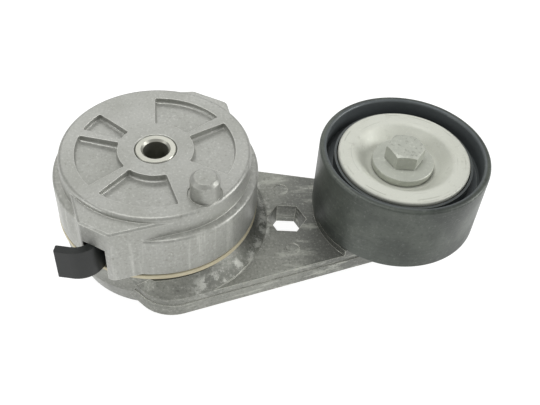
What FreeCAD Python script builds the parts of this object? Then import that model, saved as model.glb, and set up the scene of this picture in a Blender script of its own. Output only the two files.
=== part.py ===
import FreeCAD, Part
import math
import os
import re
import Sketcher
from FreeCAD import Placement, Rotation, Vector

# Spring-loaded belt tensioner. The origin is on the pivot axis in the case's mounting face,
# +Z leaves that face, and +X runs from the pivot axis to the pulley axis. Lengths are in mm,
# and names that end in _z are heights below the mounting face, given as positive depths.

SIZES = {
    # arm and pulley positions
    "arm_length": 109.2,
    "pulley_radius": 38.0,
    "pulley_width": 35.1,
    "pulley_top_z": 0.34,
    # case
    "plateau_radius": 41.2,
    "drum_radius": 44.6,
    "shoulder_z": 9.6,
    "case_bottom_z": 30.2,
    "cavity_radius": 38.2,
    "cavity_top_z": 10.8,
    "spring_lobe_top_z": 2.2,
    "plain_lobe_top_z": 1.3,
    "lobe_brow": 0.8,
    "pocket_inner_radius": 16.4,
    "pocket_outer_radius": 34.3,
    "pocket_inner_depth": 3.3,
    "pocket_outer_depth": 2.6,
    "pin_x": 21.1,
    "pin_y": 27.0,
    "pin_radius": 6.2,
    "pin_height": 9.8,
    "window_top_z": 12.8,
    "hub_bottom_z": 12.3,
    # pivot
    "tube_radius": 8.8,
    "tube_bore": 5.5,
    "tube_bottom_z": 57.0,
    "tube_flare": 10.2,
    "end_plate_radius": 19.0,
    "end_plate_z": 53.5,
    "end_plate_thick": 2.0,
    "running_gap": 0.06,
    # spring
    "strip_thick": 3.4,
    "strip_top_z": 12.8,
    "strip_width": 16.0,
    "coil_radius": 36.0,
    "coil_pitch": 4.4,
    "hook_x": 30.8,
    "hook_y": 36.7,
    "hook_radius": 9.3,
    "hook_tail": 6.3,
    "bend_radius": 5.5,
    "guide_thick": 1.5,
    "bolt_hole": 5.3,
    # arm
    "cup_radius": 44.2,
    "cup_top_z": 33.2,
    "cup_waist_radius": 42.6,
    "cup_waist_z": 46.0,
    "cup_foot_radius": 38.6,
    "cup_bottom_z": 57.8,
    "chamber_floor_z": 31.0,
    "chamber_radius": 40.0,
    "stop_floor_z": 36.5,
    "stop_inner_radius": 33.4,
    "hollow_top_z": 41.0,
    "hub_radius": 20.5,
    "rib_thick": 3.2,
    "arbor_radius": 13.5,
    "arbor_top_z": 13.0,
    "bushing_radius": 10.8,
    "hub_foot_z": 52.0,
    "plate_top_z": 40.0,
    "plate_thick": 10.0,
    "arm_end_radius": 17.0,
    "web_x": 1.2,
    "web_y": 2.0,
    "web_root_radius": 43.4,
    "web_root_z": 33.9,
    "web_toe_radius": 51.0,
    "web_toe_height": 0.5,
    "web_hollow": 0.4,
    "parting_drop": 3.6,
    "parting_step": 0.35,
    "pad_radius": 37.0,
    "pad_top_z": 36.6,
    "seat_top_z": 26.2,
    "seat_radius": 13.0,
    "boss_radius": 12.5,
    "tool_flats": 15.9,
    "tool_x": 59.26,
    "tool_y": 4.0,
    "seal_ring_top_z": 31.4,
    # bolt and cover
    "bolt_radius": 5.0,
    "bolt_flats": 15.0,
    "bolt_head_top_z": -2.3,
    "bolt_flange_z": 5.0,
    "bolt_flange_radius": 13.8,
    "washer_top_z": 8.0,
    "washer_radius": 13.5,
    "cover_seat_z": 9.8,
    "cover_rim_z": 3.25,
    "cover_radius": 29.45,
    "sheet_thick": 1.2,
    # bearing, 17 x 47 x 14
    "bearing_bore": 8.5,
    "bearing_radius": 23.5,
    "bearing_width": 14.0,
    "bearing_top_z": 11.0,
    "inner_land": 12.4,
    "outer_land": 19.6,
    "ball_radius": 4.365,
    "ball_pitch_radius": 16.0,
    "race_gap": 0.05,
}
BALL_COUNT = 7
SWING_DEGREES = 38.0
STOP_MARGIN_DEGREES = 0.5

doc = FreeCAD.newDocument("belt_tensioner")
sheet = doc.addObject("Spreadsheet::Sheet", "sizes")
for line, (alias, amount) in enumerate(SIZES.items(), start=1):
    sheet.set("A%d" % line, alias)
    sheet.set("B%d" % line, str(amount))
    sheet.setAlias("B%d" % line, alias)
doc.recompute()


# ---------------------------------------------------------------- helpers

def bound(text):
    """The expression with every sheet alias written as sizes.alias."""
    return re.sub(r"[a-z_]{3,}", lambda m: "sizes." + m.group() if m.group() in SIZES else m.group(), text)


def value(text):
    """The number that an expression over the sheet comes to."""
    result = sheet.evalExpression(bound(text))
    return float(getattr(result, "Value", result))


def origin_part(body, role):
    for item in body.Origin.OriginFeatures:
        if item.Role == role:
            return item
    raise ValueError(role)


def new_body(name):
    body = doc.addObject("PartDesign::Body", name)
    body.Label = name
    return body


def new_sketch(body, name, role="XY_Plane", lift=None, turn=0.0):
    """A sketch on one of the body's own planes, lifted along its normal by an expression."""
    sketch = body.newObject("Sketcher::SketchObject", name)
    sketch.AttachmentSupport = [(origin_part(body, role), "")]
    sketch.MapMode = "FlatFace"
    if turn:
        sketch.AttachmentOffset = Placement(Vector(0, 0, 0), Rotation(Vector(0, 1, 0), turn))
    if lift:
        sketch.setExpression("AttachmentOffset.Base.z", bound(lift))
    return sketch


def hold(sketch, axis, geometry, vertex, text):
    """Tie one coordinate of a vertex to an expression; a plain 0 puts it on the axis."""
    if text == "0":
        sketch.addConstraint(Sketcher.Constraint("PointOnObject", geometry, vertex, -2 if axis == "X" else -1))
        return
    number = sketch.addConstraint(
        Sketcher.Constraint("Distance" + axis, -1, 1, geometry, vertex, value(text)))
    sketch.setExpression("Constraints[%d]" % number, bound(text))


def outline(sketch, corners):
    """A closed polygon whose corners are pairs of expressions."""
    spots = [Vector(value(x), value(y), 0) for x, y in corners]
    first = None
    for here, there in zip(spots, spots[1:] + spots[:1]):
        edge = sketch.addGeometry(Part.LineSegment(here, there), False)
        first = edge if first is None else first
    count = len(spots)
    for i in range(count):
        sketch.addConstraint(Sketcher.Constraint("Coincident", first + i, 2, first + (i + 1) % count, 1))
    for i, (x, y) in enumerate(corners):
        hold(sketch, "X", first + i, 1, x)
        hold(sketch, "Y", first + i, 1, y)


def tangent_loop(sketch, circles):
    """A closed outline of arcs joined by tangent lines, round circles listed counter-clockwise."""
    spots = [(Vector(value(x), value(y), 0), value(r)) for x, y, r in circles]
    normals = []
    for (here, r1), (there, r2) in zip(spots, spots[1:] + spots[:1]):
        run = there - here
        angle = math.atan2(run.y, run.x) - math.pi / 2 + math.asin((r1 - r2) / run.Length)
        normals.append(angle)
    count = len(spots)
    for i, (centre, radius) in enumerate(spots):
        circle = Part.Circle(centre, Vector(0, 0, 1), radius)
        start, end = normals[i - 1], normals[i]
        sketch.addGeometry(Part.ArcOfCircle(circle, start, end if end > start else end + 2 * math.pi), False)
        there, other = spots[(i + 1) % count]
        spoke = Vector(math.cos(end), math.sin(end), 0)
        sketch.addGeometry(Part.LineSegment(centre + spoke * radius, there + spoke * other), False)
    for i, (x, y, r) in enumerate(circles):
        arc, line = 2 * i, 2 * i + 1
        sketch.addConstraint(Sketcher.Constraint("Tangent", arc, 2, line, 1))
        sketch.addConstraint(Sketcher.Constraint("Tangent", line, 2, (arc + 2) % (2 * count), 1))
        hold(sketch, "X", arc, 3, x)
        hold(sketch, "Y", arc, 3, y)
        number = sketch.addConstraint(Sketcher.Constraint("Radius", arc, value(r)))
        sketch.setExpression("Constraints[%d]" % number, bound(r))


def ring_sketch(sketch, x, y, radius):
    """One circle whose centre and radius are expressions."""
    sketch.addGeometry(Part.Circle(Vector(value(x), value(y), 0), Vector(0, 0, 1), value(radius)), False)
    hold(sketch, "X", 0, 3, x)
    hold(sketch, "Y", 0, 3, y)
    number = sketch.addConstraint(Sketcher.Constraint("Radius", 0, value(radius)))
    sketch.setExpression("Constraints[%d]" % number, bound(radius))


def turned(body, kind, name, corners, angle=360.0, start=0.0):
    """A Revolution or Groove about the body's Z axis, from start over angle degrees."""
    sketch = new_sketch(body, name + "_profile", "XZ_Plane", turn=start)
    outline(sketch, corners)
    feature = body.newObject("PartDesign::" + kind, name)
    feature.Profile = sketch
    feature.ReferenceAxis = (sketch, ["V_Axis"])
    feature.Angle = angle
    feature.Reversed = False
    doc.recompute()
    return feature


def raised(body, name, sketch, height, taper=0.0):
    feature = body.newObject("PartDesign::Pad", name)
    feature.Profile = sketch
    feature.TaperAngle = -taper
    feature.setExpression("Length", bound(height))
    doc.recompute()
    return feature


def sunk(body, name, sketch, depth, upward=False, taper=0.0):
    """A pocket below its sketch, or above it when upward."""
    before = body.Shape.Volume
    feature = body.newObject("PartDesign::Pocket", name)
    feature.Profile = sketch
    feature.Reversed = upward
    feature.TaperAngle = taper
    feature.setExpression("Length", bound(depth))
    doc.recompute()
    if body.Shape.Volume >= before - 1e-6:
        raise ValueError("%s cuts nothing" % name)
    return feature


def dressed(body, kind, name, size, wanted):
    """A Fillet or Chamfer on every edge of the body's tip that wanted(edge) picks."""
    tip = body.Tip
    picked = ["Edge%d" % (i + 1) for i, edge in enumerate(tip.Shape.Edges) if wanted(edge)]
    if not picked:
        raise ValueError("%s finds no edge" % name)
    feature = body.newObject("PartDesign::" + kind, name)
    feature.Base = (tip, picked)
    if kind == "Fillet":
        feature.Radius = size
    else:
        feature.Size = size
    doc.recompute()
    return feature


def curve_of(edge):
    """The edge's curve, or None where it is of a kind that has no name."""
    try:
        return edge.Curve
    except TypeError:
        return None


def round_at(radius, height, slack=0.05):
    """Picks circular edges about the Z axis of this radius at this height."""
    def wanted(edge):
        curve = curve_of(edge)
        return (isinstance(curve, Part.Circle) and abs(curve.Radius - radius) < slack
                and abs(curve.Center.z - height) < slack and math.hypot(curve.Center.x, curve.Center.y) < slack)
    return wanted


def upright_at(x, y, slack=0.1):
    """Picks the vertical edges that stand at x, y."""
    def wanted(edge):
        ends = [v.Point for v in edge.Vertexes]
        return (len(ends) == 2 and abs(ends[0].z - ends[1].z) > 1.0
                and all(math.hypot(p.x - x, p.y - y) < slack for p in ends))
    return wanted


def lathe(name, corners, on_pulley_axis=False):
    """A whole sub-part turned about its own axis, at the pivot or at the pulley."""
    body = new_body(name)
    turned(body, "Revolution", name + "_turn", corners)
    if on_pulley_axis:
        body.setExpression(".Placement.Base.x", "sizes.arm_length")
    return body


# ---------------------------------------------------------------- case

# Lobe outlines, in plan, as circles (x, y, radius) that a tight band would wrap. The spring lobe
# stands at the front left, the plain lobe opposite.
SPRING_LOBE = [
    ("-33.0", "-23.3", "0.8"),
    ("-26.6", "-38.6", "2.6"),
    ("-15.9", "-44.5", "3.0"),
    ("(plateau_radius - 4) * cos(-71)", "(plateau_radius - 4) * sin(-71)", "3.9"),
    ("-10.0", "-20.0", "2.0"),
]
PLAIN_LOBE = [
    ("31.2", "22.5", "2.0"),
    ("28.1", "31.9", "3.3"),
    ("15.2", "38.8", "3.2"),
    ("(plateau_radius - 4) * cos(84)", "(plateau_radius - 4) * sin(84)", "3.9"),
    ("12.0", "18.0", "2.0"),
]
# Sector pockets in the mounting face: first angle and sweep, in degrees.
FACE_POCKETS = [(38.5, 54.5), (-27.0, 57.5), (-129.5, 57.5), (-194.0, 54.5), (138.5, 20.5)]
# Window and hook room, in plan: from the spring chamber out through the lobe's left front wall.
WINDOW_ROOM = [
    ("-14.0", "-25.0"),
    ("-24.6", "-30.0"),
    ("-26.4", "-38.2"),
    ("-28.8", "-42.8"),
    ("-19.0", "-48.5"),
    ("-17.6", "-38.4"),
    ("-14.2", "-35.0"),
]
STOP_LUG = (143.0, 14.0)
STOP_BLOCK_SWEEP = 12.0


def sector(start, sweep, inner, outer):
    """Corners, in plan, of a block with flat ends at two angles."""
    corners = []
    for radius, angle in ((inner, start), (outer, start), (outer, start + sweep), (inner, start + sweep)):
        corners.append(("%s * cos(%.3f)" % (radius, angle), "%s * sin(%.3f)" % (radius, angle)))
    return corners


def hexagon(x, y, flats, first):
    """Corners, in plan, of a hexagon by its width across flats and its first corner's angle."""
    corners = []
    for angle in range(0, 360, 60):
        corners.append(tuple("%s + %s / 2 / cos(30) * %s(%.3f)" % (middle, flats, turn, first + angle)
                             for middle, turn in ((x, "cos"), (y, "sin"))))
    return corners


def pocket_edges(start, sweep):
    """Picks the floor edges and the upright corners of one face pocket, all of them below the face."""
    inner, outer = value("pocket_inner_radius"), value("pocket_outer_radius")

    def wanted(edge):
        ends = [v.Point for v in edge.Vertexes]
        if len(ends) < 2 or min(p.z for p in ends) > -2.0 or max(p.z for p in ends) > 0.01:
            return False
        if min(p.z for p in ends) < -4.5:
            return False
        for p in ends:
            reach = math.hypot(p.x, p.y)
            turn = (math.degrees(math.atan2(p.y, p.x)) - start) % 360.0
            turn = turn - 360.0 if turn > 350.0 else turn
            if min(abs(reach - inner), abs(reach - outer)) > 0.1 or min(abs(turn), abs(turn - sweep)) > 0.5:
                return False
        return True
    return wanted


def make_case():
    body = new_body("spring_case")
    turned(body, "Revolution", "drum", [
        ("tube_radius", "-hub_bottom_z"),
        ("tube_radius", "-0.8"),
        ("tube_radius + 0.6", "0"),
        ("plateau_radius", "0"),
        ("plateau_radius", "-shoulder_z"),
        ("drum_radius", "-shoulder_z - 0.4"),
        ("drum_radius", "-case_bottom_z"),
        ("arbor_radius", "-case_bottom_z"),
        ("arbor_radius", "-hub_bottom_z"),
    ])
    dressed(body, "Fillet", "plateau_edge", 1.6, round_at(SIZES["plateau_radius"], 0))
    dressed(body, "Fillet", "shoulder_edge", 1.2, round_at(
        SIZES["drum_radius"], -SIZES["shoulder_z"] - 0.4))
    for name, circles, top in (("spring_lobe", SPRING_LOBE, "spring_lobe_top_z"),
                               ("plain_lobe", PLAIN_LOBE, "plain_lobe_top_z")):
        plan = new_sketch(body, name + "_plan", lift="-case_bottom_z")
        tangent_loop(plan, circles)
        raised(body, name, plan, "case_bottom_z - %s - lobe_brow" % top)
        brow_plan = new_sketch(body, name + "_brow_plan", lift="-%s - lobe_brow" % top)
        tangent_loop(brow_plan, circles)
        raised(body, name + "_brow", brow_plan, "lobe_brow", taper=50.0)
    turned(body, "Groove", "spring_chamber", [
        ("tube_radius", "-hub_bottom_z"),
        ("arbor_radius", "-hub_bottom_z"),
        ("arbor_radius", "-cavity_top_z"),
        ("cavity_radius", "-cavity_top_z"),
        ("cavity_radius", "-case_bottom_z - 1"),
        ("tube_radius", "-case_bottom_z - 1"),
    ])
    for number, (start, sweep) in enumerate(FACE_POCKETS, start=1):
        turned(body, "Groove", "face_pocket_%d" % number, [
            ("pocket_inner_radius", "1"),
            ("pocket_inner_radius", "-pocket_inner_depth"),
            ("pocket_outer_radius", "-pocket_outer_depth"),
            ("pocket_outer_radius", "1"),
        ], angle=sweep, start=start)
        dressed(body, "Fillet", "face_pocket_%d_floor" % number, 0.9, pocket_edges(start, sweep))
    window = new_sketch(body, "window_plan", lift="-case_bottom_z")
    outline(window, WINDOW_ROOM)
    sunk(body, "window", window, "case_bottom_z - window_top_z", upward=True)
    moat = new_sketch(body, "pin_moat_plan", lift="-0.4")
    ring_sketch(moat, "pin_x", "-pin_y", "pin_radius + 1.1")
    sunk(body, "pin_moat", moat, "2", upward=True)
    pin = new_sketch(body, "pin_plan", lift="-1")
    ring_sketch(pin, "pin_x", "-pin_y", "pin_radius")
    raised(body, "pin", pin, "pin_height + 1")
    dressed(body, "Chamfer", "pin_lead", 1.6, lambda edge: isinstance(curve_of(edge), Part.Circle)
            and abs(curve_of(edge).Center.z - SIZES["pin_height"]) < 0.05)
    dressed(body, "Fillet", "pin_crown", 0.6, lambda edge: isinstance(curve_of(edge), Part.Circle)
            and curve_of(edge).Center.z > SIZES["pin_height"] - 2.0)
    lug = new_sketch(body, "stop_lug_plan", lift="-stop_floor_z + 0.7")
    outline(lug, sector(STOP_LUG[0], STOP_LUG[1], "(stop_inner_radius + 0.6)", "(chamber_radius - 0.3)"))
    raised(body, "stop_lug", lug, "stop_floor_z - 0.7 - case_bottom_z + 0.6")
    return body


# ---------------------------------------------------------------- pivot and spring

def make_pivot():
    tube = lathe("pivot_tube", [
        ("tube_bore", "-0.9"),
        ("tube_bore + 0.9", "0"),
        ("tube_radius - 0.3", "0"),
        ("tube_radius", "-0.3"),
        ("tube_radius", "-end_plate_z - end_plate_thick"),
        ("tube_flare", "-end_plate_z - end_plate_thick"),
        ("tube_flare", "-tube_bottom_z + 0.6"),
        ("tube_flare - 0.6", "-tube_bottom_z"),
        ("tube_bore + 0.6", "-tube_bottom_z"),
        ("tube_bore", "-tube_bottom_z + 0.6"),
    ])
    plate = lathe("end_plate", [
        ("tube_radius", "-end_plate_z"),
        ("end_plate_radius", "-end_plate_z"),
        ("end_plate_radius", "-end_plate_z - end_plate_thick"),
        ("tube_radius", "-end_plate_z - end_plate_thick"),
    ])
    guide = lathe("upper_spring_guide", [
        ("arbor_radius + 0.1", "-cavity_top_z"),
        ("cavity_radius - 0.4", "-cavity_top_z"),
        ("cavity_radius - 0.4", "-cavity_top_z - guide_thick"),
        ("arbor_radius + 0.1", "-cavity_top_z - guide_thick"),
    ])
    return [tube, plate, guide]


def heading(angle):
    """Unit vector in plan at an angle in degrees."""
    return Vector(math.cos(math.radians(angle)), math.sin(math.radians(angle)), 0)


def plan_arc(centre, radius, start, end):
    """An arc run from start to end degrees, either way round."""
    spots = [centre + heading(start + (end - start) * share) * radius for share in (0.0, 0.5, 1.0)]
    return Part.Arc(*spots).toShape()


EXIT_ANGLE = -112.0
HALF_TURNS = 9
HOOK_END_ANGLE = -100.0
TAB_BEND = 80.0
TAB_RADIUS = 3.0
TAB_RUN = 2.6


def spring_path():
    """The strip's middle line as arcs (centre, radius, start, end) and lines (start, end), hook first."""
    out = heading(EXIT_ANGLE)
    step = value("coil_pitch") / 2
    bend, hook = value("bend_radius"), value("hook_radius")
    bend_centre = out * (value("coil_radius") + bend)
    hook_centre = Vector(value("-hook_x"), value("-hook_y"), 0)
    span = hook_centre - bend_centre
    side = math.degrees(math.atan2(span.y, span.x) - math.acos((bend + hook) / span.Length))
    tail = hook_centre + heading(HOOK_END_ANGLE) * hook
    pieces = [("line", tail + heading(HOOK_END_ANGLE - 90.0) * value("hook_tail"), tail)]
    pieces.append(("arc", hook_centre, hook, HOOK_END_ANGLE, side - 180.0))
    pieces.append(("line", hook_centre - heading(side) * hook, bend_centre + heading(side) * bend))
    pieces.append(("arc", bend_centre, bend, side, EXIT_ANGLE + 180.0))
    radius = value("coil_radius") - step / 2
    for turn in range(HALF_TURNS):
        centre = out * (step / 2 if turn % 2 == 0 else -step / 2)
        start = EXIT_ANGLE + 180.0 * turn
        pieces.append(("arc", centre, radius, start, start + 180.0))
        radius -= step
    last = EXIT_ANGLE + 180.0 * HALF_TURNS
    _, centre, reach, _, _ = pieces[-1]
    tab_centre = centre + heading(last) * (reach - TAB_RADIUS)
    pieces.append(("arc", tab_centre, TAB_RADIUS, last, last + TAB_BEND))
    tip = tab_centre + heading(last + TAB_BEND) * TAB_RADIUS
    pieces.append(("line", tip, tip + heading(last + TAB_BEND + 90.0) * TAB_RUN))
    return pieces


def band(pieces, half):
    """A face of even width round a path, half to each side."""
    sides = []
    for sign in (1.0, -1.0):
        edges = []
        for piece in pieces:
            if piece[0] == "line":
                along = (piece[2] - piece[1]).normalize()
                across = Vector(along.y, -along.x, 0) * half * sign
                edges.append(Part.makeLine(piece[1] + across, piece[2] + across))
            else:
                _, centre, radius, start, end = piece
                turn = 1.0 if end > start else -1.0
                edges.append(plan_arc(centre, radius + half * sign * turn, start, end))
        sides.append(edges)
    first = [edges[0].firstVertex().Point for edges in sides]
    last = [edges[-1].lastVertex().Point for edges in sides]
    ends = [Part.makeLine(*first), Part.makeLine(*last)]
    return Part.Face(Part.Wire(Part.__sortEdges__(sides[0] + sides[1] + ends)))


def make_spring():
    strip = doc.addObject("Part::Feature", "torsion_spring")
    strip.Label = "torsion_spring"
    face = band(spring_path(), value("strip_thick") / 2)
    solid = face.extrude(Vector(0, 0, value("strip_width")))
    ends = [spring_path()[0][1], spring_path()[-1][2]]
    rounded = [edge for edge in solid.Edges if len(edge.Vertexes) == 2
               and abs(edge.Vertexes[0].Point.z - edge.Vertexes[1].Point.z) > 1.0
               and any(math.hypot(edge.Vertexes[0].Point.x - end.x, edge.Vertexes[0].Point.y - end.y)
                       < value("strip_thick") * 0.6 for end in ends)]
    strip.Shape = solid.makeFillet(0.5, rounded)
    strip.Placement = Placement(Vector(0, 0, value("-strip_top_z - strip_width")), Rotation())
    return strip


# ---------------------------------------------------------------- arm

ARM_OUTLINE = [
    ("0", "0", "35.5"),
    ("6.9", "-33.9", "arm_end_radius"),
    ("arm_length", "-1.0", "arm_end_radius"),
]
TOOL_ANGLE = -3.5
# Shallow round marks in the plate's top face: x, y and radius.
PLATE_MARKS = [(57.6, 14.9, 3.4), (60.5, -22.6, 3.2)]


def make_web():
    """The hollow-faced web between the cup wall and the plate, leaning in above the plate's edge."""
    ring = new_body("web_ring")
    ring.setExpression("Placement.Base.x", bound("-web_x"))
    ring.setExpression("Placement.Base.y", bound("-web_y"))
    profile = new_sketch(ring, "web_profile", "XZ_Plane")
    corners = [
        ("web_toe_radius", "-plate_top_z + web_toe_height"),
        ("web_toe_radius", "-plate_top_z"),
        ("web_root_radius - 2.1", "-plate_top_z"),
        ("web_root_radius - 2.1", "-web_root_z"),
        ("web_root_radius", "-web_root_z"),
    ]
    spots = [Vector(value(x), value(y), 0) for x, y in corners]
    toe, root = spots[0], spots[-1]
    along = toe - root
    belly = (toe + root) * 0.5 + Vector(along.y, -along.x, 0).normalize() * value("web_hollow")
    face = profile.addGeometry(Part.ArcOfCircle(root, belly, toe), False)
    sides = [profile.addGeometry(Part.LineSegment(a, b), False) for a, b in zip(spots, spots[1:])]
    for before, after in zip([face] + sides, sides + [face]):
        profile.addConstraint(Sketcher.Constraint("Coincident", before, 2, after, 1))
    for side, (x, y) in zip(sides + [face], corners):
        hold(profile, "X", side, 1, x)
        hold(profile, "Y", side, 1, y)
    bend = "((web_toe_radius - web_root_radius)^2 + (plate_top_z - web_toe_height - web_root_z)^2)"
    radius = "%s / 8 / web_hollow + web_hollow / 2" % bend
    number = profile.addConstraint(Sketcher.Constraint("Radius", face, value(radius)))
    profile.setExpression("Constraints[%d]" % number, bound(radius))
    feature = ring.newObject("PartDesign::Revolution", "web_revolution")
    feature.Profile = profile
    feature.ReferenceAxis = (profile, ["V_Axis"])
    feature.Angle = 360.0
    doc.recompute()
    limit = new_body("web_limit")
    plan = new_sketch(limit, "web_limit_plan", lift="-plate_top_z")
    tangent_loop(plan, ARM_OUTLINE)
    raised(limit, "web_limit_pad", plan, "plate_top_z - web_root_z + 1", taper=30.0)
    web = doc.addObject("Part::Common", "arm_web")
    web.Base = ring
    web.Tool = limit
    doc.recompute()
    return web


def make_arm():
    body = new_body("arm_casting")
    plan = new_sketch(body, "plate_plan", lift="-plate_top_z - plate_thick")
    tangent_loop(plan, ARM_OUTLINE)
    raised(body, "plate", plan, "plate_top_z + plate_thick - pad_top_z")
    lower = new_sketch(body, "lower_half_plan", lift="-plate_top_z - plate_thick")
    tangent_loop(lower, [(x, y, "%s + parting_step" % radius) for x, y, radius in ARM_OUTLINE])
    raised(body, "lower_half", lower, "plate_thick - parting_drop")
    step = new_sketch(body, "pad_step_plan", lift="-plate_top_z")
    outline(step, [("-60", "-60"), ("150", "-60"), ("150", "60"), ("-60", "60")])
    rim = step.addGeometry(Part.Circle(Vector(value("arm_length"), 0, 0), Vector(0, 0, 1), value("pad_radius")), False)
    hold(step, "X", rim, 3, "arm_length")
    hold(step, "Y", rim, 3, "0")
    number = step.addConstraint(Sketcher.Constraint("Radius", rim, value("pad_radius")))
    step.setExpression("Constraints[%d]" % number, bound("pad_radius"))
    sunk(body, "pad_step", step, "plate_top_z - pad_top_z", upward=True)
    turned(body, "Revolution", "cup", [
        ("bushing_radius", "-arbor_top_z"),
        ("arbor_radius", "-arbor_top_z"),
        ("arbor_radius", "-chamber_floor_z"),
        ("stop_inner_radius", "-chamber_floor_z"),
        ("stop_inner_radius", "-stop_floor_z"),
        ("chamber_radius", "-stop_floor_z"),
        ("chamber_radius", "-cup_top_z"),
        ("cup_radius", "-cup_top_z"),
        ("cup_waist_radius", "-cup_waist_z"),
        ("cup_foot_radius", "-cup_bottom_z"),
        ("cup_foot_radius - 4", "-cup_bottom_z"),
        ("cup_foot_radius - 3", "-hollow_top_z"),
        ("bushing_radius", "-hollow_top_z"),
    ])
    turned(body, "Groove", "underside_hollow", [
        ("hub_radius", "-hollow_top_z"),
        ("cup_foot_radius - 3", "-hollow_top_z"),
        ("cup_foot_radius - 4", "-cup_bottom_z"),
        ("hub_radius - 0.6", "-cup_bottom_z"),
    ])
    turned(body, "Revolution", "hub", [
        ("bushing_radius", "-hollow_top_z + 1"),
        ("hub_radius", "-hollow_top_z + 1"),
        ("hub_radius - 0.5", "-hub_foot_z"),
        ("bushing_radius", "-hub_foot_z"),
    ])
    bore = new_sketch(body, "bushing_bore_plan", lift="-cup_bottom_z")
    ring_sketch(bore, "0", "0", "bushing_radius")
    sunk(body, "bushing_bore", bore, "cup_bottom_z", upward=True)
    rib = new_sketch(body, "rib_plan", lift="-hub_foot_z")
    outline(rib, [
        ("hub_radius - 2", "-rib_thick / 2"),
        ("cup_foot_radius - 2", "-rib_thick / 2"),
        ("cup_foot_radius - 2", "rib_thick / 2"),
        ("hub_radius - 2", "rib_thick / 2"),
    ])
    spoke = raised(body, "rib", rib, "hub_foot_z - hollow_top_z + 1")
    ribs = body.newObject("PartDesign::PolarPattern", "ribs")
    ribs.Originals = [spoke]
    ribs.Axis = (rib, ["N_Axis"])
    ribs.Angle = 360.0
    ribs.Occurrences = 8
    body.Tip = ribs
    doc.recompute()
    column = new_sketch(body, "bearing_seat_plan", lift="-pad_top_z - 1")
    ring_sketch(column, "arm_length", "0", "seat_radius")
    raised(body, "bearing_seat", column, "pad_top_z + 1 - seat_top_z")
    boss = new_sketch(body, "bolt_boss_plan", lift="-cup_bottom_z")
    ring_sketch(boss, "arm_length", "0", "boss_radius")
    raised(body, "bolt_boss", boss, "cup_bottom_z - plate_top_z")
    thread = new_sketch(body, "bolt_hole_plan", lift="-cup_bottom_z")
    ring_sketch(thread, "arm_length", "0", "bolt_radius")
    sunk(body, "bolt_hole", thread, "cup_bottom_z", upward=True)
    for block, start in enumerate((STOP_LUG[0] + STOP_LUG[1] + STOP_MARGIN_DEGREES,
                                   STOP_LUG[0] - SWING_DEGREES - STOP_MARGIN_DEGREES - STOP_BLOCK_SWEEP), start=1):
        plan = new_sketch(body, "stop_block_plan_%d" % block, lift="-stop_floor_z - 1")
        outline(plan, sector(start, STOP_BLOCK_SWEEP, "(stop_inner_radius - 0.6)", "(chamber_radius + 1)"))
        raised(body, "stop_block_%d" % block, plan, "stop_floor_z + 1 - cup_top_z - 0.6")
    slot = new_sketch(body, "tab_slot_plan", lift="-chamber_floor_z")
    _, tab_start, tab_end = spring_path()[-1]
    inward = (tab_end - tab_start).normalize()
    across = Vector(-inward.y, inward.x, 0) * (value("strip_thick") / 2 + 0.45)
    mouth, floor = tab_start - inward * 1.6, tab_end + inward * 0.6
    outline(slot, [("%.4f" % spot.x, "%.4f" % spot.y) for spot in
                   (mouth - across, floor - across, floor + across, mouth + across)])
    sunk(body, "tab_slot", slot, "chamber_floor_z - arbor_top_z", upward=True)
    tool = new_sketch(body, "tool_hole_plan", lift="-plate_top_z")
    outline(tool, hexagon("tool_x", "-tool_y", "tool_flats", TOOL_ANGLE))
    sunk(body, "tool_hole", tool, "plate_thick", taper=-4.0)
    for number, (x, y, radius) in enumerate(PLATE_MARKS, start=1):
        mark = new_sketch(body, "plate_mark_plan_%d" % number, lift="-plate_top_z")
        ring_sketch(mark, str(x), str(y), str(radius))
        sunk(body, "plate_mark_%d" % number, mark, "0.2")
    arm = doc.addObject("Part::Fuse", "tensioner_arm")
    arm.Base = body
    arm.Tool = make_web()
    arm.Refine = True
    arm.Label = "tensioner_arm"
    doc.recompute()
    return arm


def make_arm_liners():
    upper = lathe("upper_pivot_bushing", [
        ("tube_radius + running_gap", "-arbor_top_z - 0.4"),
        ("bushing_radius", "-arbor_top_z - 0.4"),
        ("bushing_radius", "-chamber_floor_z"),
        ("tube_radius + running_gap", "-chamber_floor_z"),
    ])
    lower = lathe("lower_pivot_bushing", [
        ("tube_radius + running_gap", "-chamber_floor_z - 4"),
        ("bushing_radius", "-chamber_floor_z - 4"),
        ("bushing_radius", "-hub_foot_z"),
        ("tube_radius + running_gap", "-hub_foot_z"),
    ])
    washer = lathe("damping_washer", [
        ("tube_radius + 0.4", "-hub_foot_z"),
        ("end_plate_radius - 0.6", "-hub_foot_z"),
        ("end_plate_radius - 0.6", "-end_plate_z + 0.1"),
        ("tube_radius + 0.4", "-end_plate_z + 0.1"),
    ])
    guide = lathe("lower_spring_guide", [
        ("arbor_radius + 0.1", "-chamber_floor_z + guide_thick"),
        ("stop_inner_radius - 0.4", "-chamber_floor_z + guide_thick"),
        ("stop_inner_radius - 0.4", "-chamber_floor_z"),
        ("arbor_radius + 0.1", "-chamber_floor_z"),
    ])
    ring = lathe("case_seal_ring", [
        ("chamber_radius", "-seal_ring_top_z"),
        ("cup_radius + 0.5", "-seal_ring_top_z"),
        ("cup_radius + 0.5", "-cup_top_z"),
        ("chamber_radius", "-cup_top_z"),
    ])
    dressed(ring, "Fillet", "seal_ring_edge", 0.5, round_at(SIZES["cup_radius"] + 0.5, -SIZES["seal_ring_top_z"]))
    return [upper, lower, washer, guide, ring]


# ---------------------------------------------------------------- bolt, cover and bearing

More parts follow.
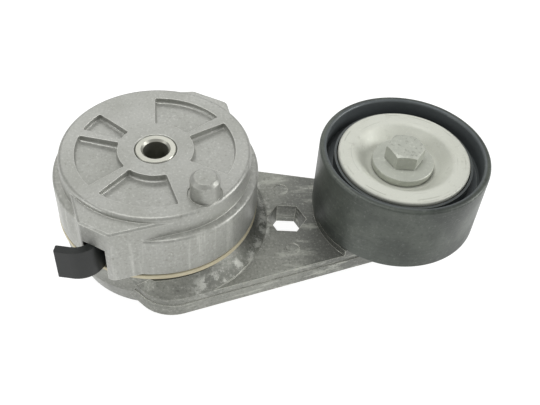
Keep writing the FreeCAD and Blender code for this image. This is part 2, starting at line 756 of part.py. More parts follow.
def make_bolt():
    body = new_body("pulley_bolt")
    body.setExpression(".Placement.Base.x", "sizes.arm_length")
    turned(body, "Revolution", "shank", [
        ("0", "-bolt_flange_z"),
        ("bolt_flats / 2 + 1", "-bolt_flange_z"),
        ("bolt_flange_radius - 0.3", "-bolt_flange_z - 0.8"),
        ("bolt_flange_radius", "-bolt_flange_z - 1.1"),
        ("bolt_flange_radius", "-washer_top_z"),
        ("bolt_radius", "-washer_top_z"),
        ("bolt_radius", "-cup_bottom_z + 2"),
        ("bolt_radius - 1", "-cup_bottom_z + 1"),
        ("0", "-cup_bottom_z + 1"),
    ])
    head = new_sketch(body, "head_plan", lift="-bolt_flange_z - 0.5")
    outline(head, hexagon("0.0", "0.0", "bolt_flats", -6.2))
    raised(body, "head", head, "bolt_flange_z + 0.5 - bolt_head_top_z + 0.25")
    turned(body, "Groove", "head_crown", [
        ("0", "-bolt_head_top_z + 0.25"),
        ("bolt_flats / 2 - 0.5", "-bolt_head_top_z"),
        ("bolt_flats / 2 + 2", "-bolt_head_top_z - 2.5 * tan(26)"),
        ("bolt_flats / 2 + 2", "-bolt_head_top_z + 1"),
        ("0", "-bolt_head_top_z + 1"),
    ])
    return body


def make_cover_stack():
    washer = lathe("bolt_washer", [
        ("bolt_hole", "-washer_top_z"),
        ("washer_radius - 0.3", "-washer_top_z"),
        ("washer_radius", "-washer_top_z - 0.3"),
        ("washer_radius", "-cover_seat_z + 0.3"),
        ("washer_radius - 0.3", "-cover_seat_z"),
        ("bolt_hole", "-cover_seat_z"),
    ], on_pulley_axis=True)
    cover = lathe("dust_cover", [
        ("bolt_hole", "-cover_seat_z"),
        ("15.7", "-cover_seat_z"),
        ("22.3", "-cover_rim_z"),
        ("cover_radius", "-cover_rim_z"),
        ("cover_radius", "-cover_rim_z - 4.2"),
        ("cover_radius - sheet_thick", "-cover_rim_z - 4.2"),
        ("cover_radius - sheet_thick", "-cover_rim_z - sheet_thick"),
        ("22.8", "-cover_rim_z - sheet_thick"),
        ("16.2", "-cover_seat_z - sheet_thick"),
        ("bolt_hole", "-cover_seat_z - sheet_thick"),
    ], on_pulley_axis=True)
    seat, rim, thick = SIZES["cover_seat_z"], SIZES["cover_rim_z"], SIZES["sheet_thick"]
    for name, size, radius, height in (
            ("dish_foot", 5.0, 15.7, -seat), ("dish_foot_back", 5.0 + thick, 16.2, -seat - thick),
            ("dish_lip", 2.4 + thick, 22.3, -rim), ("dish_lip_back", 2.4, 22.8, -rim - thick),
            ("rim_edge", 1.0, SIZES["cover_radius"], -rim)):
        dressed(cover, "Fillet", name, size, round_at(radius, height))
    spacer = lathe("bearing_spacer", [
        ("bolt_hole", "-bearing_top_z"),
        ("bearing_bore", "-bearing_top_z"),
        ("bearing_bore", "-bearing_top_z - bearing_width"),
        ("bolt_hole", "-bearing_top_z - bearing_width"),
    ], on_pulley_axis=True)
    shield = lathe("rear_dust_shield", [
        ("bolt_hole", "-bearing_top_z - bearing_width"),
        ("12.4", "-bearing_top_z - bearing_width"),
        ("15.6", "-seat_top_z - 0.9"),
        ("32.0", "-seat_top_z - 0.9"),
        ("32.0", "-seat_top_z - 0.9 - sheet_thick"),
        ("15.2", "-seat_top_z - 0.9 - sheet_thick"),
        ("seat_radius", "-seat_top_z"),
        ("bolt_hole", "-seat_top_z"),
    ], on_pulley_axis=True)
    return [washer, cover, spacer, shield]


def race(body, name):
    """Turns the ball track into a bearing ring."""
    sketch = new_sketch(body, name + "_profile", "XZ_Plane")
    sketch.addGeometry(Part.Circle(Vector(value("ball_pitch_radius"), value("-bearing_top_z - bearing_width / 2"), 0),
                                   Vector(0, 0, 1), value("ball_radius + race_gap")), False)
    hold(sketch, "X", 0, 3, "ball_pitch_radius")
    hold(sketch, "Y", 0, 3, "-bearing_top_z - bearing_width / 2")
    number = sketch.addConstraint(Sketcher.Constraint("Radius", 0, value("ball_radius + race_gap")))
    sketch.setExpression("Constraints[%d]" % number, bound("ball_radius + race_gap"))
    feature = body.newObject("PartDesign::Groove", name)
    feature.Profile = sketch
    feature.ReferenceAxis = (sketch, ["V_Axis"])
    feature.Angle = 360.0
    doc.recompute()


def ring(name, inner, outer, top, thick, angle=360.0):
    """A plain ring of rectangular section on the pulley axis."""
    body = new_body(name)
    body.setExpression(".Placement.Base.x", "sizes.arm_length")
    turned(body, "Revolution", name + "_turn", [
        (inner, top),
        (outer, top),
        (outer, "%s - %s" % (top, thick)),
        (inner, "%s - %s" % (top, thick)),
    ], angle=angle, start=(360.0 - angle) / 2)
    return body


def make_bearing():
    inner = ring("bearing_inner_ring", "bearing_bore", "inner_land", "-bearing_top_z", "bearing_width")
    race(inner, "inner_race")
    outer = ring("bearing_outer_ring", "outer_land", "bearing_radius", "-bearing_top_z", "bearing_width")
    race(outer, "outer_race")
    front = ring("front_bearing_seal", "(inner_land + 0.35)", "outer_land", "-bearing_top_z - 0.4", "1.0")
    rear = ring("rear_bearing_seal", "(inner_land + 0.35)", "outer_land",
                "-bearing_top_z - bearing_width + 1.4", "1.0")
    clip = ring("bearing_snap_ring", "21.4", "(bearing_radius + 1.1)", "-bearing_top_z + 1.4", "1.4", angle=336.0)
    cage = ring("cage_ring", "(ball_pitch_radius - 0.9)", "(ball_pitch_radius + 0.9)",
                "-bearing_top_z - bearing_width / 2 + 5.1", "10.2")
    balls, rooms = [], []
    for number in range(BALL_COUNT):
        turn = 360.0 * number / BALL_COUNT
        ball = doc.addObject("Part::Sphere", "ball_%d" % (number + 1))
        ball.setExpression("Radius", bound("ball_radius"))
        room = doc.addObject("Part::Cylinder", "ball_room_%d" % (number + 1))
        room.setExpression("Radius", bound("ball_radius + race_gap"))
        room.setExpression("Height", bound("ball_pitch_radius"))
        room.Placement = Placement(Vector(), Rotation(Vector(0, 0, 1), heading(turn)))
        for thing, reach in ((ball, "ball_pitch_radius"), (room, "ball_pitch_radius / 2")):
            thing.setExpression(".Placement.Base.x", bound("arm_length + %s * cos(%.6f)" % (reach, turn)))
            thing.setExpression(".Placement.Base.y", bound("%s * sin(%.6f)" % (reach, turn)))
            thing.setExpression(".Placement.Base.z", bound("-bearing_top_z - bearing_width / 2"))
        balls.append(ball)
        rooms.append(room)
    balls_group = doc.addObject("Part::Compound", "bearing_balls")
    balls_group.Links = balls
    balls_group.Label = "bearing_balls"
    room_group = doc.addObject("Part::Compound", "ball_rooms")
    room_group.Links = rooms
    pierced = doc.addObject("Part::Cut", "ball_cage")
    pierced.Base = cage
    pierced.Tool = room_group
    pierced.Label = "ball_cage"
    doc.recompute()
    return [inner, outer, front, rear, clip, balls_group, pierced]


# ---------------------------------------------------------------- pulley

def make_pulley():
    shell = lathe("pulley_shell", [
        ("pulley_radius", "-pulley_top_z"),
        ("pulley_radius", "-pulley_top_z - pulley_width"),
        ("pulley_radius - 3.2", "-pulley_top_z - pulley_width"),
        ("pulley_radius - 3.2", "-17.2"),
        ("bearing_radius + 4", "-17.2"),
        ("bearing_radius + 3.6", "-bearing_top_z - bearing_width - 1.6"),
        ("bearing_radius - 2.1", "-bearing_top_z - bearing_width - 1.6"),
        ("bearing_radius - 2.1", "-bearing_top_z - bearing_width"),
        ("bearing_radius", "-bearing_top_z - bearing_width"),
        ("bearing_radius", "-bearing_top_z"),
        ("bearing_radius + 1.2", "-bearing_top_z"),
        ("bearing_radius + 1.2", "-bearing_top_z + 1.4"),
        ("bearing_radius", "-bearing_top_z + 1.4"),
        ("bearing_radius", "-bearing_top_z + 2.6"),
        ("cover_radius + 0.45", "-bearing_top_z + 2.6"),
        ("cover_radius + 0.45", "-5.0"),
        ("cover_radius + 1.5", "-5.0"),
        ("cover_radius + 1.5", "-11.2"),
        ("pulley_radius - 4.0", "-11.2"),
        ("pulley_radius - 3.1", "-10.3"),
        ("pulley_radius - 3.1", "-pulley_top_z"),
    ], on_pulley_axis=True)
    top, wide = -SIZES["pulley_top_z"], SIZES["pulley_radius"]
    for name, radius, height, size in (("front_edge", wide, top, 1.3), ("front_lip", wide - 3.1, top, 1.0),
                                       ("back_edge", wide, top - SIZES["pulley_width"], 1.3)):
        dressed(shell, "Fillet", name, size, round_at(radius, height))
    return shell


# ---------------------------------------------------------------- build and write

nodes = [make_case()] + make_pivot() + [make_spring(), make_arm()] + make_arm_liners()
nodes += [make_bolt()] + make_cover_stack() + make_bearing() + [make_pulley()]
doc.recompute()

for item in doc.Objects:
    if "Invalid" in item.State or "Error" in item.State:
        raise ValueError("%s does not compute" % item.Name)

os.makedirs("parts", exist_ok=True)
for node in nodes:
    if node.Shape.isNull() or not node.Shape.isValid() or not node.Shape.Solids:
        raise ValueError("%s has no valid shape" % node.Label)
    node.Shape.exportStep("parts/%s.step" % node.Label)
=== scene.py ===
import math

import bmesh
import bpy
from mathutils import Matrix, Vector


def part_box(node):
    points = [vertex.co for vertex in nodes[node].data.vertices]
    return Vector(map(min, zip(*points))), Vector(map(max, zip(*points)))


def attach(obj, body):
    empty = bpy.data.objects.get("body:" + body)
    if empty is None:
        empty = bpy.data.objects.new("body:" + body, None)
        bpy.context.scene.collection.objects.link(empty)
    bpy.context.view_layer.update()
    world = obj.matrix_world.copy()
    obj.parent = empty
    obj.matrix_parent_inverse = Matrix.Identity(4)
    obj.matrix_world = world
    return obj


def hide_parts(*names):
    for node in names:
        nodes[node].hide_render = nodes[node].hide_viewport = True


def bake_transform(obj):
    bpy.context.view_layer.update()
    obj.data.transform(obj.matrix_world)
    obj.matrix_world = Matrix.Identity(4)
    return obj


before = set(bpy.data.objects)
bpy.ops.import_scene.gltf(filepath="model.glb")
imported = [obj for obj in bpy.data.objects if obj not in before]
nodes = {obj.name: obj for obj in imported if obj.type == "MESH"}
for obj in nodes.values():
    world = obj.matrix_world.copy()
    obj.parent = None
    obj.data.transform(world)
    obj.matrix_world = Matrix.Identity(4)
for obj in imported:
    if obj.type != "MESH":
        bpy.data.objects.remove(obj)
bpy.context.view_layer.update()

# Lengths are in metres. The pivot axis is x = y = 0, and z = 0 is the case's mounting face.
PULLEY_X = sum(corner.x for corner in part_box("pulley_shell")) / 2
FLOOR_Z = min(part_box("tensioner_arm")[0].z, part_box("pivot_tube")[0].z)


# ---------------------------------------------------------------- camera, floor and light

SENSOR_MM = 36.0
LENS_MM = 51.44
CAMERA_PLACE = (0.021379, -0.246928, 0.225839)
CAMERA_RIGHT = (0.99655, -0.05781, 0.05960)
CAMERA_UP = (0.00077, 0.72422, 0.68957)
CLIP = (0.01, 20.0)

FLOOR_REACH = 3.0
FLOOR_GAP = 0.0002
FLOOR_GREY = 0.22
FLOOR_GLOW = 0.93
SKY = 0.42

# name, place, target, size, watts
SOFTBOXES = [
    ("top_softbox", (-0.12, 0.02, 0.80), (0.03, 0.0, 0.0), (0.30, 0.30), 2.5),
    ("back_softbox", (-0.10, 0.75, 0.60), (0.05, 0.0, 0.0), (0.8, 0.3), 1.3),
    ("left_softbox", (-0.75, -0.30, 0.25), (0.0, 0.0, -0.02), (0.3, 0.4), 1.5),
    ("right_softbox", (0.80, -0.10, 0.28), (0.05, 0.0, -0.02), (0.4, 0.4), 3.6),
]


def add_object(name, data):
    made = bpy.data.objects.new(name, data)
    bpy.context.scene.collection.objects.link(made)
    return made


def make_camera():
    data = bpy.data.cameras.new("camera")
    data.sensor_width = SENSOR_MM
    data.lens = LENS_MM
    data.clip_start, data.clip_end = CLIP
    camera = add_object("camera", data)
    right, up = Vector(CAMERA_RIGHT), Vector(CAMERA_UP)
    back = right.cross(up).normalized()
    up = back.cross(right).normalized()
    right.normalize()
    turn = Matrix((right, up, back)).transposed().to_4x4()
    camera.matrix_world = Matrix.Translation(CAMERA_PLACE) @ turn
    bpy.context.scene.camera = camera


def make_light(name, place, target, size, watts):
    data = bpy.data.lights.new(name, "AREA")
    data.shape = "RECTANGLE"
    data.size, data.size_y = size
    data.energy = watts
    lamp = add_object(name, data)
    lamp.location = place
    lamp.rotation_euler = (Vector(target) - Vector(place)).to_track_quat("-Z", "Y").to_euler()


def make_floor():
    reach, z = FLOOR_REACH, FLOOR_Z - FLOOR_GAP
    corners = [(-reach, -reach, z), (reach, -reach, z), (reach, reach, z), (-reach, reach, z)]
    mesh = bpy.data.meshes.new("floor")
    mesh.from_pydata(corners, [], [(0, 1, 2, 3)])
    floor = add_object("floor", mesh)
    skin = bpy.data.materials.new("floor_white")
    skin.use_nodes = True
    inputs = skin.node_tree.nodes["Principled BSDF"].inputs
    inputs["Base Color"].default_value = (FLOOR_GREY, FLOOR_GREY, FLOOR_GREY, 1)
    inputs["Roughness"].default_value = 0.9
    inputs["Specular IOR Level"].default_value = 0.1
    inputs["Emission Color"].default_value = (1.0, 1.0, 1.0, 1)
    inputs["Emission Strength"].default_value = FLOOR_GLOW
    mesh.materials.append(skin)


def make_studio():
    make_floor()
    world = bpy.data.worlds.new("studio")
    bpy.context.scene.world = world
    world.use_nodes = True
    sky = world.node_tree.nodes["Background"]
    sky.inputs["Color"].default_value = (1.0, 1.0, 1.0, 1)
    sky.inputs["Strength"].default_value = SKY
    for softbox in SOFTBOXES:
        make_light(*softbox)
    bpy.context.scene.view_settings.view_transform = "Standard"


# ---------------------------------------------------------------- material builder

BEVEL_SAMPLES = 6
OCCLUSION_SAMPLES = 8


class Skin:
    """A node material built up layer by layer round one Principled shader."""

    def __init__(self, name, colour, metallic, roughness):
        self.material = bpy.data.materials.new(name)
        self.material.use_nodes = True
        self.tree = self.material.node_tree
        self.shader = self.tree.nodes["Principled BSDF"]
        self.shader.inputs["Metallic"].default_value = metallic
        self.shader.inputs["Specular IOR Level"].default_value = 0.5
        self.shader.inputs["Base Color"].default_value = (*colour, 1)
        self.shader.inputs["Roughness"].default_value = roughness
        self.place = self.node("ShaderNodeTexCoord").outputs["Object"]
        self.colour = None
        self.normal = None

    def node(self, kind, **settings):
        made = self.tree.nodes.new(kind)
        for key, setting in settings.items():
            setattr(made, key, setting)
        return made

    def join(self, source, target):
        self.tree.links.new(source, target)

    def noise(self, scale, detail, rough, seed, stretch=None):
        """Noise from 0 to 1; scale is features per metre."""
        made = self.node("ShaderNodeTexNoise", noise_dimensions="4D")
        made.inputs["W"].default_value = seed
        made.inputs["Scale"].default_value = scale
        made.inputs["Detail"].default_value = detail
        made.inputs["Roughness"].default_value = rough
        where = self.place
        if stretch:
            squash = self.node("ShaderNodeVectorMath", operation="MULTIPLY")
            self.join(where, squash.inputs[0])
            squash.inputs[1].default_value = stretch
            where = squash.outputs[0]
        self.join(where, made.inputs["Vector"])
        return made.outputs["Fac"]

    def ramp(self, source, low, high, out_low=0.0, out_high=1.0):
        """Turns source smoothly from out_low, at low, to out_high, at high."""
        made = self.node("ShaderNodeMapRange", interpolation_type="SMOOTHSTEP")
        self.join(source, made.inputs["Value"])
        made.inputs["From Min"].default_value = low
        made.inputs["From Max"].default_value = high
        made.inputs["To Min"].default_value = out_low
        made.inputs["To Max"].default_value = out_high
        return made.outputs["Result"]

    def math(self, operation, a, b=None):
        made = self.node("ShaderNodeMath", operation=operation)
        for socket, item in zip(made.inputs, (a, b)):
            if item is None:
                continue
            if isinstance(item, (int, float)):
                socket.default_value = item
            else:
                self.join(item, socket)
        return made.outputs[0]

    def both(self, a, b):
        return self.math("MULTIPLY", a, b)

    def axis(self, letter, centre=0.0):
        split = self.node("ShaderNodeSeparateXYZ")
        self.join(self.place, split.inputs[0])
        found = split.outputs[letter]
        return self.math("SUBTRACT", found, centre) if centre else found

    def radius(self, centre_x=0.0):
        """Distance from the upright axis through centre_x."""
        x, y = self.axis("X", centre_x), self.axis("Y")
        return self.math("SQRT", self.math("ADD", self.both(x, x), self.both(y, y)))

    def blend(self, factor, colour):
        """Lays a colour over what is there, by a factor socket."""
        made = self.node("ShaderNodeMix", data_type="RGBA")
        self.join(factor, made.inputs["Factor"])
        if self.colour is None:
            made.inputs["A"].default_value = self.shader.inputs["Base Color"].default_value
        else:
            self.join(self.colour, made.inputs["A"])
        made.inputs["B"].default_value = (*colour, 1)
        self.colour = made.outputs["Result"]

    def patches(self, source, low, high, amount, colour):
        """Lays a colour where source goes from low to high, up to amount."""
        self.blend(self.ramp(source, low, high, 0.0, amount), colour)

    def roughen(self, source, smooth, rough):
        """Roughness from smooth to rough, by source."""
        self.join(self.ramp(source, 0.3, 0.7, smooth, rough), self.shader.inputs["Roughness"])

    def bump(self, source, height, strength):
        made = self.node("ShaderNodeBump")
        made.inputs["Strength"].default_value = strength
        made.inputs["Distance"].default_value = height
        self.join(source, made.inputs["Height"])
        if self.normal is not None:
            self.join(self.normal, made.inputs["Normal"])
        self.normal = made.outputs["Normal"]

    def rounded(self, reach):
        """The surface direction as if sharp corners had this radius."""
        made = self.node("ShaderNodeBevel")
        made.samples = BEVEL_SAMPLES
        made.inputs["Radius"].default_value = reach
        return made.outputs["Normal"]

    def soften(self, reach):
        """Rounds the shading of sharp corners, as on a casting."""
        self.normal = self.rounded(reach)

    def edges(self, reach, full=0.90, none=0.985):
        """1 along the corners of the shape, 0 on its flats."""
        flat = self.node("ShaderNodeNewGeometry").outputs["True Normal"]
        dot = self.node("ShaderNodeVectorMath", operation="DOT_PRODUCT")
        self.join(self.rounded(reach), dot.inputs[0])
        self.join(flat, dot.inputs[1])
        return self.ramp(dot.outputs["Value"], full, none, 1.0, 0.0)

    def crevices(self, reach, low, high):
        """1 deep in corners and slots, 0 on open surfaces."""
        hidden = self.node("ShaderNodeAmbientOcclusion")
        hidden.samples = OCCLUSION_SAMPLES
        hidden.inputs["Distance"].default_value = reach
        return self.ramp(hidden.outputs["AO"], low, high, 1.0, 0.0)

    def wear(self, targets):
        """Puts the finished material on CAD nodes, by name, or on pieces."""
        if self.colour is not None:
            self.join(self.colour, self.shader.inputs["Base Color"])
        if self.normal is not None:
            self.join(self.normal, self.shader.inputs["Normal"])
        for item in targets:
            thing = nodes[item] if isinstance(item, str) else item
            if not thing.material_slots:
                thing.data.materials.append(self.material)
            for slot in thing.material_slots:
                slot.material = self.material


def grey(level, red=0.985, blue=0.90):
    """A slightly greenish warm grey, as these bare metals have."""
    return (level * red, level, level * blue)


# ---------------------------------------------------------------- materials

# Pairs of places between which a layer fades in.
DRUM_WALL_Z = (-0.0075, -0.0105)
PLATE_SIDE_Z = (-0.0392, -0.0404)
CUP_WALL_Z = (-0.034, -0.044)
LEFT_OF_WEB_X = (0.022, 0.008)
WEB_X = (0.012, 0.022)
BEYOND_CUP = (0.047, 0.050)
NEAR_CASE = (0.056, 0.046)
NEAR_PULLEY = (0.062, 0.042)
WEB_START = (0.0455, 0.0475)
WEB_END = (0.0525, 0.0510)
PULLEY_INSIDE = (0.0364, 0.0356)
COVER_FLAT = (0.0225, 0.0245)
BOLT_TOP_Z = (0.0002, 0.0012)
TUBE_BORE = (0.0056, 0.0052)
TUBE_BORE_Z = (-0.0004, -0.0012)


def cast_case():
    skin = Skin("case_cast_aluminium", grey(0.39, 0.99, 0.93), 0.5, 0.42)
    skin.soften(0.0006)
    cloud = skin.noise(38.0, 5.0, 0.6, seed=1.0)
    grain = skin.noise(900.0, 3.0, 0.7, seed=2.0)
    speck = skin.noise(480.0, 2.0, 0.6, seed=3.0)
    drag = skin.noise(420.0, 3.0, 0.6, seed=21.0, stretch=(1.0, 1.0, 0.07))
    wall = skin.ramp(skin.axis("Z"), *DRUM_WALL_Z)
    skin.patches(cloud, 0.40, 0.66, 0.6, grey(0.33, 0.985, 0.90))
    skin.blend(skin.both(wall, skin.ramp(drag, 0.50, 0.66, 0.0, 0.40)), grey(0.60, 0.99, 0.93))
    skin.blend(skin.both(wall, skin.ramp(drag, 0.48, 0.34, 0.0, 0.35)), grey(0.32, 0.99, 0.90))
    skin.patches(grain, 0.54, 0.70, 0.60, grey(0.60, 0.99, 0.94))
    skin.patches(grain, 0.47, 0.32, 0.55, grey(0.26, 0.985, 0.90))
    skin.patches(speck, 0.60, 0.72, 0.50, grey(0.24, 0.98, 0.86))
    # Painted highlight: lighter colour along the corners.
    skin.blend(skin.edges(0.0007, 0.88, 0.99), grey(0.74, 0.99, 0.93))
    # Painted shade: darker colour deep in corners and slots.
    skin.blend(skin.crevices(0.0018, 0.32, 0.68), grey(0.22, 0.98, 0.85))
    skin.roughen(cloud, 0.36, 0.46)
    skin.bump(grain, 0.00012, 0.7)
    skin.bump(speck, 0.00014, 0.5)
    skin.wear(["spring_case"])


def cast_arm():
    skin = Skin("arm_cast_aluminium", grey(0.28, 0.98, 0.88), 0.45, 0.42)
    skin.soften(0.0005)
    cloud = skin.noise(30.0, 5.0, 0.62, seed=4.0)
    stain = skin.noise(80.0, 5.0, 0.68, seed=5.0)
    grain = skin.noise(850.0, 3.0, 0.7, seed=6.0)
    scratch = skin.noise(300.0, 4.0, 0.65, seed=22.0, stretch=(0.15, 0.6, 1.6))
    foot_blotches = skin.ramp(skin.noise(55.0, 5.0, 0.7, seed=25.0), 0.42, 0.62)
    glints = skin.ramp(skin.noise(150.0, 5.0, 0.7, seed=26.0), 0.47, 0.56)
    height, across, far = skin.axis("Z"), skin.axis("X"), skin.radius()
    near_pulley = skin.ramp(skin.radius(PULLEY_X), *NEAR_PULLEY)
    near_case = skin.ramp(far, *NEAR_CASE)
    side = skin.both(skin.ramp(height, *PLATE_SIDE_Z), skin.ramp(far, *BEYOND_CUP))
    wall = skin.both(skin.ramp(height, *CUP_WALL_Z), skin.ramp(across, *LEFT_OF_WEB_X))
    web = skin.both(skin.ramp(far, *WEB_START), skin.ramp(far, *WEB_END))
    web = skin.both(web, skin.ramp(across, *WEB_X))
    skin.patches(cloud, 0.42, 0.66, 0.75, grey(0.19, 0.98, 0.88))
    skin.patches(stain, 0.55, 0.68, 0.65, grey(0.10, 0.97, 0.90))
    skin.patches(stain, 0.45, 0.35, 0.55, grey(0.40, 0.99, 0.90))
    # Painted shade: a dark ring on the arm round the foot of the pulley.
    skin.blend(skin.both(near_pulley, 0.75), grey(0.085, 0.95, 0.92))
    # Darker blotches in a band round the foot of the cup, fading out by 56 mm from the pivot.
    skin.blend(skin.both(skin.both(near_case, foot_blotches), 0.45), grey(0.10, 0.97, 0.92))
    # Painted shade: the lower cup wall, left of the web, darker.
    skin.blend(skin.both(wall, 0.55), grey(0.13, 0.98, 0.86))
    # Painted glints: light streaks on the web round the cup's foot.
    skin.blend(skin.both(skin.both(web, glints), 0.65), grey(0.72, 0.99, 0.92))
    # Painted shade: the plate's side walls a little darker than its top.
    skin.blend(skin.both(side, 0.35), grey(0.24, 0.98, 0.90))
    skin.blend(skin.both(side, skin.ramp(scratch, 0.52, 0.66, 0.0, 0.70)), grey(0.52, 0.98, 0.88))
    skin.patches(grain, 0.54, 0.70, 0.55, grey(0.52, 0.99, 0.90))
    skin.patches(grain, 0.47, 0.32, 0.60, grey(0.09, 0.98, 0.88))
    # Painted highlight: lighter colour along the corners.
    skin.blend(skin.edges(0.0005), grey(0.66, 0.99, 0.88))
    # Painted shade: darker colour deep in corners and slots.
    skin.blend(skin.crevices(0.0022, 0.30, 0.70), grey(0.08, 0.97, 0.88))
    skin.roughen(cloud, 0.34, 0.48)
    skin.bump(grain, 0.00012, 0.7)
    skin.bump(stain, 0.00025, 0.35)
    skin.wear(["tensioner_arm"])


def dark_pulley():
    skin = Skin("pulley_dark_steel", (0.080, 0.091, 0.078), 0.3, 0.44)
    skin.soften(0.0004)
    cloud = skin.noise(30.0, 4.0, 0.6, seed=7.0)
    patch = skin.noise(46.0, 3.0, 0.5, seed=27.0)
    grain = skin.noise(750.0, 3.0, 0.7, seed=8.0)
    rings = skin.noise(30.0, 3.0, 0.6, seed=9.0, stretch=(1.0, 1.0, 60.0))
    inside = skin.ramp(skin.radius(PULLEY_X), *PULLEY_INSIDE)
    skin.patches(cloud, 0.40, 0.64, 0.75, (0.054, 0.062, 0.053))
    skin.patches(patch, 0.50, 0.64, 0.80, (0.036, 0.042, 0.037))
    skin.patches(patch, 0.46, 0.34, 0.45, (0.118, 0.132, 0.112))
    skin.patches(rings, 0.5, 0.7, 0.22, (0.13, 0.14, 0.125))
    skin.patches(grain, 0.54, 0.72, 0.45, (0.19, 0.20, 0.18))
    skin.patches(grain, 0.46, 0.32, 0.50, (0.035, 0.040, 0.036))
    # Painted reflection: the inside of the pulley's rim lighter and bluer.
    skin.blend(skin.both(inside, 0.8), (0.105, 0.118, 0.125))
    # Painted highlight: lighter colour along the corners.
    skin.blend(skin.edges(0.0005), (0.20, 0.21, 0.18))
    skin.roughen(cloud, 0.36, 0.52)
    skin.bump(grain, 0.00006, 0.6)
    skin.wear(["pulley_shell"])


def plated_sheet():
    skin = Skin("zinc_flake", grey(0.62, 0.98, 0.89), 0.15, 0.58)
    cloud = skin.noise(60.0, 5.0, 0.62, seed=10.0)
    stain = skin.noise(150.0, 6.0, 0.75, seed=24.0)
    grain = skin.noise(900.0, 3.0, 0.6, seed=11.0)
    far = skin.radius(PULLEY_X)
    broken = skin.ramp(skin.noise(90.0, 3.0, 0.6, seed=28.0), 0.50, 0.60)
    broken = skin.both(skin.ramp(far, *COVER_FLAT), broken)
    arcs = skin.node("ShaderNodeTexNoise", noise_dimensions="1D")
    skin.join(far, arcs.inputs["W"])
    arcs.inputs["Scale"].default_value = 900.0
    arcs.inputs["Detail"].default_value = 2.0
    scratch = skin.ramp(arcs.outputs["Fac"], 0.56, 0.62, 0.0, 0.5)
    skin.patches(cloud, 0.45, 0.68, 0.5, grey(0.55, 0.98, 0.87))
    skin.patches(stain, 0.54, 0.64, 0.45, grey(0.44, 0.98, 0.85))
    skin.blend(skin.both(broken, scratch), grey(0.36, 0.97, 0.84))
    skin.patches(grain, 0.55, 0.72, 0.30, grey(0.80, 0.98, 0.90))
    # Painted shade: darker colour deep in corners and slots.
    skin.blend(skin.crevices(0.002, 0.30, 0.70), grey(0.20, 0.97, 0.85))
    skin.roughen(cloud, 0.50, 0.64)
    skin.bump(grain, 0.00004, 0.5)
    skin.wear(["dust_cover", "rear_dust_shield", "end_plate"])


def plated_bolt():
    skin = Skin("bolt_zinc_flake", grey(0.47, 0.965, 0.88), 0.3, 0.52)
    skin.soften(0.00018)
    cloud = skin.noise(240.0, 4.0, 0.62, seed=12.0)
    pits = skin.noise(700.0, 3.0, 0.6, seed=13.0)
    top = skin.ramp(skin.axis("Z"), *BOLT_TOP_Z)
    skin.patches(cloud, 0.45, 0.68, 0.5, grey(0.40, 0.965, 0.88))
    skin.patches(pits, 0.56, 0.70, 0.5, grey(0.66, 0.97, 0.89))
    skin.blend(skin.both(top, skin.ramp(pits, 0.44, 0.34, 0.0, 0.7)), grey(0.26, 0.96, 0.85))
    # Painted highlight: lighter colour along the corners.
    skin.blend(skin.edges(0.0003), grey(0.66, 0.97, 0.88))
    # Painted shade: darker colour deep in corners and slots, as between flange and washer.
    skin.blend(skin.crevices(0.0016, 0.35, 0.72), grey(0.12, 0.96, 0.82))
    skin.roughen(cloud, 0.46, 0.58)
    skin.bump(pits, 0.00010, 0.6)
    skin.wear(["pulley_bolt", "bolt_washer"])


def turned_tube():
    skin = Skin("turned_steel", grey(0.47, 1.0, 0.88), 0.85, 0.32)
    lines = skin.noise(25.0, 2.0, 0.5, seed=14.0, stretch=(1.0, 1.0, 12.0))
    deep = skin.ramp(skin.axis("Z"), *TUBE_BORE_Z)
    bore = skin.both(skin.ramp(skin.radius(), *TUBE_BORE), deep)
    # Painted shade: the bore darkened down from its mouth.
    skin.blend(skin.both(bore, 0.75), grey(0.16, 0.98, 0.80))
    skin.roughen(lines, 0.28, 0.40)
    skin.wear(["pivot_tube"])


def ground_bearing():
    skin = Skin("ground_bearing_steel", grey(0.62), 1.0, 0.15)
    skin.roughen(skin.noise(400.0, 2.0, 0.5, seed=15.0), 0.10, 0.22)
    skin.wear(["bearing_inner_ring", "bearing_outer_ring", "bearing_spacer", "bearing_balls"])


def black_steel(pieces):
    skin = Skin("black_spring_steel", (0.008, 0.010, 0.009), 0.2, 0.42)
    skin.soften(0.0003)
    cloud = skin.noise(150.0, 3.0, 0.6, seed=16.0)
    fine = skin.noise(1200.0, 3.0, 0.6, seed=17.0)
    skin.patches(cloud, 0.45, 0.7, 0.4, (0.030, 0.032, 0.031))
    skin.roughen(cloud, 0.30, 0.48)
    skin.bump(fine, 0.00003, 0.4)
    skin.wear(["bearing_snap_ring", *pieces])


def cream_nylon():
    skin = Skin("cream_nylon", (0.60, 0.55, 0.39), 0.0, 0.5)
    cloud = skin.noise(120.0, 3.0, 0.6, seed=18.0)
    skin.patches(cloud, 0.4, 0.7, 0.5, (0.50, 0.44, 0.29))
    skin.roughen(cloud, 0.42, 0.58)
    skin.wear(["case_seal_ring", "upper_spring_guide", "lower_spring_guide", "upper_pivot_bushing",
               "lower_pivot_bushing", "damping_washer"])


def black_rubber():
    skin = Skin("black_rubber", (0.018, 0.018, 0.018), 0.0, 0.6)
    skin.roughen(skin.noise(300.0, 3.0, 0.6, seed=19.0), 0.5, 0.7)
    skin.wear(["front_bearing_seal", "rear_bearing_seal", "ball_cage"])


# ---------------------------------------------------------------- spring

# The inner half turn starts at this heading, and lies within this radius on that side.
TURN_START = math.radians(-112.0)
TURN_REACH = 0.0206
WELD = 1e-7


def off_axis(spot):
    return math.hypot(spot.co.x, spot.co.y)


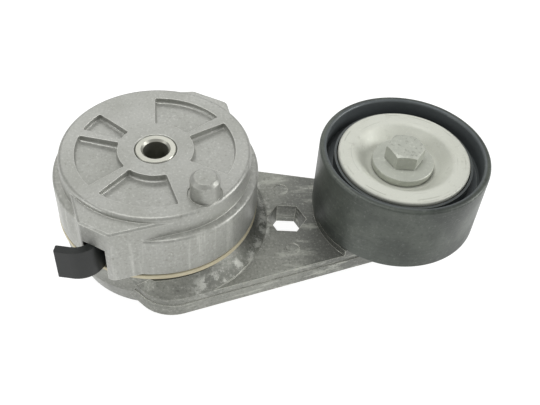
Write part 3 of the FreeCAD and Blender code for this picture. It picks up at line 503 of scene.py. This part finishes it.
def linked_to(start):
    """All vertices that edges join to start, itself among them."""
    found, todo = {start}, [start]
    while todo:
        for edge in todo.pop().link_edges:
            for spot in edge.verts:
                if spot not in found:
                    found.add(spot)
                    todo.append(spot)
    return found


def spring_piece(name, mesh, kept):
    """A closed piece of the spring, made of the kept vertices of mesh."""
    mesh.verts.index_update()
    half = mesh.copy()
    half.verts.ensure_lookup_table()
    dropped = [half.verts[spot.index] for spot in mesh.verts if spot not in kept]
    bmesh.ops.delete(half, geom=dropped, context="VERTS")
    bmesh.ops.holes_fill(half, edges=[edge for edge in half.edges if edge.is_boundary])
    bmesh.ops.recalc_face_normals(half, faces=half.faces)
    data = bpy.data.meshes.new(name)
    half.to_mesh(data)
    half.free()
    piece = add_object(name, data)
    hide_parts("torsion_spring")
    return piece


def split_spring():
    """Cuts the inner half turn and its tab from the spring; the outer coils and the hook stay with the case.
    """
    out = Vector((math.cos(TURN_START), math.sin(TURN_START), 0.0))
    ahead = Vector((-out.y, out.x, 0.0))
    mesh = bmesh.new()
    mesh.from_mesh(nodes["torsion_spring"].data)
    bmesh.ops.remove_doubles(mesh, verts=mesh.verts, dist=WELD)
    near = [face for face in mesh.faces
            if all(spot.co.dot(out) > 0 and off_axis(spot) < TURN_REACH for spot in face.verts)]
    touched = set(near)
    for face in near:
        touched.update(face.verts, face.edges)
    parts = [item for kind in (mesh.verts, mesh.edges, mesh.faces) for item in kind if item in touched]
    cut = bmesh.ops.bisect_plane(mesh, geom=parts, dist=WELD, plane_co=(0, 0, 0), plane_no=ahead)
    seam = [item for item in cut["geom_cut"] if isinstance(item, bmesh.types.BMEdge)]
    bmesh.ops.split_edges(mesh, edges=seam)
    inner = linked_to(min(mesh.verts, key=off_axis))
    coils = spring_piece("spring_coils", mesh, set(mesh.verts) - inner)
    turn = spring_piece("spring_inner_turn", mesh, inner)
    mesh.free()
    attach(coils, "case")
    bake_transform(turn)
    return [coils, turn]


make_camera()
make_studio()
cast_case()
cast_arm()
dark_pulley()
plated_sheet()
plated_bolt()
turned_tube()
ground_bearing()
black_steel(split_spring())
cream_nylon()
black_rubber()
